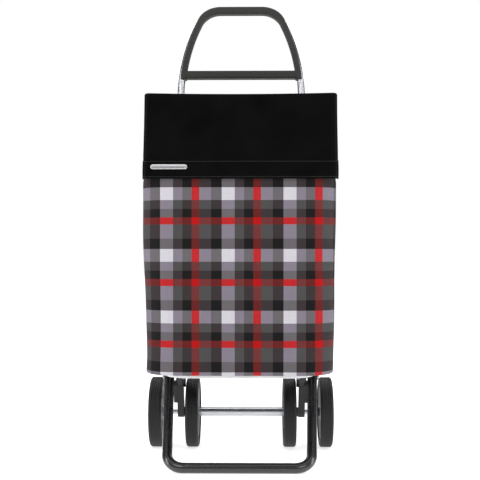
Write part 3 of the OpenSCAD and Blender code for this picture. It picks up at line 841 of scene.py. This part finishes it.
def cover_wave(u, t):
    """How far the wall's cloth stands out: slow ripples that grow downwards, and a crease above the hem."""
    ripple = 0.0009 * (1 + math.sin(13 * u + 0.8)) + 0.0004 * (1 + math.sin(31 * u + 2.0))
    crease = 0.0007 * math.exp(-((t - 0.70) / 0.035) ** 2) * (0.5 + 0.5 * math.sin(19 * u + 1.0))
    return ripple * smoothstep(t, 0.2, 0.9) + crease


def wall_share(z):
    """How far down the front wall this height is, from 0 below the rounded edge to 1 at the hem."""
    return (COVER_TOP - COVER_EDGE - z) / (FRONT_DROP - COVER_EDGE)


def cover_lift(x):
    """The stiff top bows down a little between its front corners."""
    return 0.0012 * (2 * (x / COVER_WIDE) ** 2 - 1)


def top_height(x, inward):
    return COVER_TOP + cover_lift(x) - 0.0007 * smoothstep(inward, 0.0, 0.8)


def cover_ring(kind, value):
    """One ring of the shell: on the top, over the edge, down the wall, round the lip or inside."""
    wall_top = COVER_TOP - COVER_EDGE
    ring = []
    for (x, y), (nx, ny), u in COVER_OUTLINE:
        depth = cover_drop(y)
        span, share = max(0.0, depth - COVER_EDGE), min(1, depth / FRONT_DROP)
        if kind in ("top", "ceiling"):
            px, py = (x - nx * COVER_EDGE) * (1 - value), y - ny * COVER_EDGE
            py += (COVER_MIDDLE - py) * value
            point = (px, py, top_height(px, value) - (COVER_CLOTH if kind == "ceiling" else 0))
            ring.append((settle(*point), *point[1:]))
            continue
        if kind == "edge":
            out = -COVER_EDGE * (1 - math.sin(value))
            z = COVER_TOP + cover_lift(x) - COVER_EDGE * (1 - math.cos(value))
        elif kind == "wall":
            out = cover_wave(u, value) * share
            z = wall_top + cover_lift(x) * (1 - value) - span * value
        elif kind == "lip":
            out = cover_wave(u, 1) * share - COVER_CLOTH / 2
            z = wall_top - span - 0.0006
        else:
            out = cover_wave(u, value) * share - COVER_CLOTH
            z = wall_top - span * value
        point = (x + nx * out, y + ny * out, z)
        ring.append((settle(*point), *point[1:]))
    return ring


def cover_shell():
    """A nearly flat top that turns over a soft edge into the front flap and the side skirts, whose lower
    edges climb towards the back; then the lining, back up to the ceiling."""
    outside = [("top", inward) for inward in (0.96, 0.8, 0.6, 0.4, 0.25, 0.13, 0.06)]
    outside += [("edge", math.pi / 2 * k / 5) for k in range(6)]
    outside += [("wall", k / 34) for k in range(1, 35)]
    inside = [("lip", 0.0)] + [("inner", 1 - k / 16) for k in range(17)]
    inside += [("ceiling", inward) for inward in (0.04, 0.13, 0.4, 0.7, 0.96)]
    bm = bmesh.new()
    rings = [[bm.verts.new(p) for p in cover_ring(kind, value)] for kind, value in outside + inside]
    for r, (ring, after) in enumerate(zip(rings, rings[1:])):
        bridge(bm, ring, after, 0 if r < len(outside) else 1)
    cap(bm, rings[0], 0)
    cap(bm, rings[-1], 1)
    bmesh.ops.remove_doubles(bm, verts=bm.verts, dist=0.00002)
    shell = from_bmesh("cover_shell", bm, ["cover", "lining"])
    return finish_piece(shell, "cover", "cover_cloth", "cover_top_panel", "cover_front_flap",
                        "cover_left_skirt", "cover_right_skirt")


def front_path(z, out):
    """The line across the front and round its corners at this height, standing out from the cover by out."""
    path = []
    for (x, y), (nx, ny), u in COVER_OUTLINE:
        if y <= FRONT_LINE + 0.012 and ny < 0.6:
            bulge = cover_wave(u, wall_share(z)) + out
            path.append((u, (settle(x + nx * bulge, y, z), y + ny * bulge, z)))
    return [p for _, p in sorted(path)]


def make_hem():
    """A band laid over the lower front, with a row of stitches near each edge."""
    low, high, rows = COVER_LOW - 0.0004, HEM_TOP, 14
    heights = [low + (high - low) * k / rows for k in range(rows + 1)]
    swell = [0.0007 + 0.0004 * math.sin(math.pi * k / rows) for k in range(rows + 1)]
    outer = [front_path(z, out) for z, out in zip(heights, swell)]
    inner = [front_path(z, 0.0002) for z in heights]
    band = sheet("cover_hem", outer, inner, ["cover"])
    finish_piece(band, "cover", "cover_cloth", "cover_hem_band")
    stitches = [stitch_row(f"hem_stitches_{round(z * 1000)}", front_path(z, 0.0010), "cover", "cover_cloth")
                for z in (high - 0.0028, low + 0.0040)]
    return [band, *stitches]


def make_board():
    """The stiffener: a thin fibre board under the lining, following the top's sag."""
    low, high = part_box("cover_stiffener")
    plan = rounded_outline(high.x, low.y, high.y, 0.035, 0.035, 120)
    upper, lower = 0.0028, 0.0038    # below the top
    rings = []
    for inward, down in ((0.96, upper), (0.5, upper), (0.1, upper), (0.006, upper), (0.0, 0.0031),
                         (0.0, 0.0035), (0.006, lower), (0.1, lower), (0.5, lower), (0.96, lower)):
        rings.append([(x * (1 - inward) + COVER_SHIFT, y + (COVER_MIDDLE - y) * inward,
                       top_height(x, inward) - down) for (x, y), _, _ in plan])
    board = loft("cover_board", rings, ["board"])
    return finish_piece(board, "cover", "stiffener_board", "cover_stiffener")


def flap_inside(x, z):
    """The front flap's inner face."""
    return COVER_FRONT + COVER_CLOTH - cover_wave(x, wall_share(z))


def make_cover():
    pieces = [cover_shell(), *make_hem(), make_board(), make_badge()]
    pieces.append(make_patches("hook_patches", "closure_hook_patches", "cover", flap_inside, 0.0007))
    flatten(pieces)


def make_hinge_tape():
    """A flat strip of tape across the back, where the bag below and the cover above are sewn to it."""
    low, high, half = HINGE.z - 0.016, HINGE.z + 0.002, 0.150
    rows, columns = 20, 60
    faces = [[[(half * (2 * i / columns - 1), y, low + (high - low) * k / rows) for i in range(columns + 1)]
              for k in range(rows + 1)] for y in (HINGE.y + 0.0012, HINGE.y + 0.0001)]
    tape = sheet("hinge_tape", *faces, ["webbing"])
    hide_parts("cover_hinge_piping")
    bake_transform(tape)


def make_badge():
    """A plain blank plate with rounded ends and a raised border, let into the hem."""
    low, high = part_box("cover_badge")
    centre, straight, r = (low + high) / 2, (high.x - low.x - (high.z - low.z)) / 2, (high.z - low.z) / 2
    face = COVER_FRONT - 0.0036
    rings = []
    for grow, out in ((0.0, 0.0036), (0.0, 0.0), (-0.0004, -0.0004), (-0.0012, -0.0004), (-0.0016, 0.0),
                      (-0.0020, 0.0001)):
        ring = []
        for k in range(48):
            t = 2 * math.pi * k / 48
            end = centre.x + math.copysign(straight, math.cos(t))
            ring.append((end + (r + grow) * math.cos(t), face + out, centre.z + (r + grow) * math.sin(t)))
        rings.append(ring)
    return finish_piece(loft("badge_plate", rings, ["badge"]), "cover", "badge_silver", "cover_badge")


STITCH_PITCH, STITCH_LENGTH, STITCH_RADIUS = 0.0034, 0.0024, 0.00032


def stitch_row(name, path, body, slot):
    """A row of separate stitches along a path, as one mesh."""
    points = [Vector(p) for p in path]
    lengths = [0.0]
    for a, b in zip(points, points[1:]):
        lengths.append(lengths[-1] + (b - a).length)

    def at(distance):
        for i in range(1, len(points)):
            if lengths[i] >= distance:
                share = (distance - lengths[i - 1]) / max(1e-9, lengths[i] - lengths[i - 1])
                return points[i - 1].lerp(points[i], share)
        return points[-1]

    bm = bmesh.new()
    for k in range(int(lengths[-1] / STITCH_PITCH)):
        start = k * STITCH_PITCH
        a, b = at(start), at(start + STITCH_LENGTH)
        along = (b - a).normalized()
        side = along.orthogonal().normalized()
        top = along.cross(side)
        rings = []
        for share, r in ((0.0, 0.4), (0.2, 1.0), (0.8, 1.0), (1.0, 0.4)):
            p, section = a.lerp(b, share), circle_section(STITCH_RADIUS * r, 6)
            rings.append([bm.verts.new(p + side * c + top * d) for c, d in section])
        for ring, after in zip(rings, rings[1:]):
            bridge(bm, ring, after)
        bm.faces.new(rings[0][::-1])
        bm.faces.new(rings[-1])
    return finish_piece(from_bmesh(name, bm, ["thread"]), body, slot)


# ---------- metal, plastic and wheels ----------

# The CAD nodes that stay visible, by material
CAD_LOOKS = {
    "tube": ["main_tube"],
    "axle": ["upper_cross_tube", "lower_cross_tube", "axle_rod", "axle_sleeve"],
    "fastener": ["cross_tube_rivets", "grip_screws", "bracket_screws", "axle_clips", "axle_nuts",
                 "leg_pivot_bolts", "tray_pivot_pins"],
    "black_plastic": ["bracket_left", "bracket_right", "bag_hanger_left", "bag_hanger_right",
                      "tray_end_fittings", "leg_end_fittings", "outer_left_wheel_cap", "outer_right_wheel_cap",
                      *(f"{wheel}_bush" for wheel in WHEEL_NAMES)],
    "webbing": ["bag_strap_left", "bag_strap_right"],
    "tray": ["tray_tube", "tray_cross_bars"],
    "board": ["base_board"],
    "leg": ["leg_tube"],
    "rim": [f"{wheel}_rim" for wheel in WHEEL_NAMES],
}


def dress_cad_nodes():
    for look, nodes in CAD_LOOKS.items():
        for node in nodes:
            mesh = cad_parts[node].data
            mesh.materials.clear()
            mesh.materials.append(MATERIALS[look])


# The handle's own plane: x across, v up the handle, w towards the front. Each side is a wide arc that turns
# inwards, then a corner arc leads into the level top.
HANDLE_LEAN = math.radians(8)
HANDLE_FOOT = Vector((0, 0.0904, 0.8325))
TUBE_R = 0.008
UPRIGHT_X = middle("bag_hanger_right").x
SIDE_START, SIDE_R, SIDE_TURN, CORNER_R = 0.0014, 0.395, math.radians(26), 0.0594
GRIP_LOW = 0.038                     # lower ends of the loop
BAR_LOW, BAR_HIGH = 0.0403, 0.0599
GRIP_DEPTH, BAR_DEPTH = 0.0108, 0.0090


def handle_point(x, v, w):
    up = Vector((0, math.sin(HANDLE_LEAN), math.cos(HANDLE_LEAN)))
    front = Vector((0, -math.cos(HANDLE_LEAN), math.sin(HANDLE_LEAN)))
    return HANDLE_FOOT + Vector((x, 0, 0)) + up * v + front * w


def handle_stations():
    """(x, v, outward x, outward v) up the right side and over to the middle."""
    stations = []
    low = math.asin((GRIP_LOW - SIDE_START) / SIDE_R)
    cx, cv = UPRIGHT_X - SIDE_R, SIDE_START
    for k in range(40):
        a = low + (SIDE_TURN - low) * k / 39
        stations.append((cx + SIDE_R * math.cos(a), cv + SIDE_R * math.sin(a), math.cos(a), math.sin(a)))
    cx = stations[-1][0] - CORNER_R * math.cos(SIDE_TURN)
    cv = stations[-1][1] - CORNER_R * math.sin(SIDE_TURN)
    for k in range(1, 29):
        a = SIDE_TURN + (math.pi / 2 - SIDE_TURN) * k / 28
        stations.append((cx + CORNER_R * math.cos(a), cv + CORNER_R * math.sin(a), math.cos(a), math.sin(a)))
    for k in range(1, 7):
        stations.append((cx * (1 - k / 6), cv + CORNER_R, 0.0, 1.0))
    return stations


def half_section(out, inward, depth, front, sides=18, power=2.9):
    """Half of a soft rectangle, cut along the parting line between the two shells."""
    sign = 1 if front else -1
    points = []
    for k in range(sides + 1):
        t = math.pi * k / sides
        c, d = math.cos(t), math.sin(t)
        reach = out if c > 0 else inward
        points.append((reach * math.copysign(abs(c) ** (2 / power), c),
                       sign * (0.0003 + (depth - 0.0003) * abs(d) ** (2 / power))))
    return points


def grip_loop(name, front):
    """Follows the tube. It wraps it over the top, and lets its outer side show lower down."""
    right = handle_stations()
    left = [(-x, v, -nx, nv) for x, v, nx, nv in reversed(right[:-1])]
    rings = []
    for x, v, nx, nv in right + left:
        turned = smoothstep(abs(nv), math.sin(math.radians(9)), math.sin(math.radians(66)))
        out = 0.0033 + (TUBE_R + 0.0026 - 0.0033) * turned
        inward = 0.0106 + (0.0088 - 0.0106) * smoothstep(abs(nv), 0.10, 0.60)
        end = 1 - 0.22 * (1 - smoothstep(v, GRIP_LOW, GRIP_LOW + 0.0035))
        section = half_section(out * end, inward * end, GRIP_DEPTH * (0.9 + 0.1 * end), front)
        rings.append([handle_point(x + nx * a, v + nv * a, b) for a, b in section])
    return loft(name, rings, ["grip"])


def grip_bar(name, front):
    """The bar across, whose edges flare into the sides."""
    inner, flare_r = UPRIGHT_X - 0.0118, 0.0050
    rings = []
    for k in range(61):
        x = UPRIGHT_X * 0.985 * (2 * k / 60 - 1)
        x = math.copysign(abs(x / UPRIGHT_X) ** 0.55 * UPRIGHT_X, x)
        gap = min(max(0.0, inner - abs(x)), flare_r)
        flare = flare_r - math.sqrt(max(0, flare_r ** 2 - (flare_r - gap) ** 2))
        low, high = BAR_LOW - flare * 0.6, BAR_HIGH + flare
        mid, half = (low + high) / 2, (high - low) / 2
        section = half_section(half, half, BAR_DEPTH, front, power=4.5)
        rings.append([handle_point(x, mid + a, b) for a, b in section])
    return loft(name, rings, ["grip"])


def make_grip():
    """Two moulded shells, parted in the handle's plane."""
    for front, word in ((True, "front"), (False, "rear")):
        parts = [grip_loop(f"grip_loop_{word}", front), grip_bar(f"grip_bar_{word}", front)]
        shell = join(f"grip_{word}", parts, ["grip"])
        finish_piece(shell, "frame", "grip_plastic", f"grip_{word}_shell")


TYRE_SHOULDER = 0.0062
GROOVES, GROOVE_DEPTH = (-0.0066, -0.0022, 0.0022, 0.0066), 0.0007


def tyre_profile(half, inner, radius):
    """Half the section from the rim out over one shoulder, then the grooves, then the other half."""
    side = [(-half + 0.0032, inner), (-half + 0.0010, inner + 0.0012), (-half, inner + 0.0030),
            (-half + 0.0002, radius - 0.0085)]
    for k in range(9):
        t = math.pi / 2 * k / 8
        side.append((-half + TYRE_SHOULDER * (1 - math.cos(t)), radius - TYRE_SHOULDER * (1 - math.sin(t))))
    tread = []
    for at in GROOVES:
        tread += [(at - 0.0008, radius), (at - 0.0005, radius - GROOVE_DEPTH),
                  (at + 0.0005, radius - GROOVE_DEPTH), (at + 0.0008, radius)]
    return side + tread + [(-x, r) for x, r in reversed(side)]


def make_tyres():
    """Solid tyres: rounded shoulders, four fine grooves round the tread and a step at the rim."""
    for wheel in WHEEL_NAMES:
        low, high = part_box(f"{wheel}_tyre")
        rim_low, rim_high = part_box(f"{wheel}_rim")
        inner = (rim_high.z - rim_low.z) / 2 + 0.0001
        profile = tyre_profile((high.x - low.x) / 2, inner, (high.z - low.z) / 2)
        tyre = lathe(f"{wheel}_tread", profile, ["rubber"], sides=128)
        tyre.data.transform(Matrix.Translation((low + high) / 2))
        finish_piece(tyre, wheel, "tyre_rubber", f"{wheel}_tyre")


# Bevel widths for the CAD nodes whose edges show
BEVELLED = {
    "bracket_left": 0.0011, "bracket_right": 0.0011, "bag_hanger_left": 0.0008, "bag_hanger_right": 0.0008,
    "bag_strap_left": 0.0006, "bag_strap_right": 0.0006, "base_board": 0.0006, "tray_end_fittings": 0.0005,
    "leg_end_fittings": 0.0007, "outer_left_wheel_cap": 0.0008, "outer_right_wheel_cap": 0.0008,
    "axle_nuts": 0.0004, "axle_sleeve": 0.0006,
}


def soften_edges():
    for node, width in BEVELLED.items():
        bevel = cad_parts[node].modifiers.new("edge", "BEVEL")
        bevel.width, bevel.segments = width, 2
        bevel.limit_method, bevel.angle_limit = "ANGLE", math.radians(40)
        bevel.use_clamp_overlap = True


def make_floor():
    bm = bmesh.new()
    bmesh.ops.create_grid(bm, x_segments=1, y_segments=1, size=20)
    mesh = bpy.data.meshes.new("floor")
    bm.to_mesh(mesh)
    bm.free()
    new_object("floor", mesh, ["floor"])


make_camera()
make_lights()
make_world()
make_floor()
dress_cad_nodes()
make_bag()
make_cover()
make_hinge_tape()
make_grip()
make_tyres()
soften_edges()
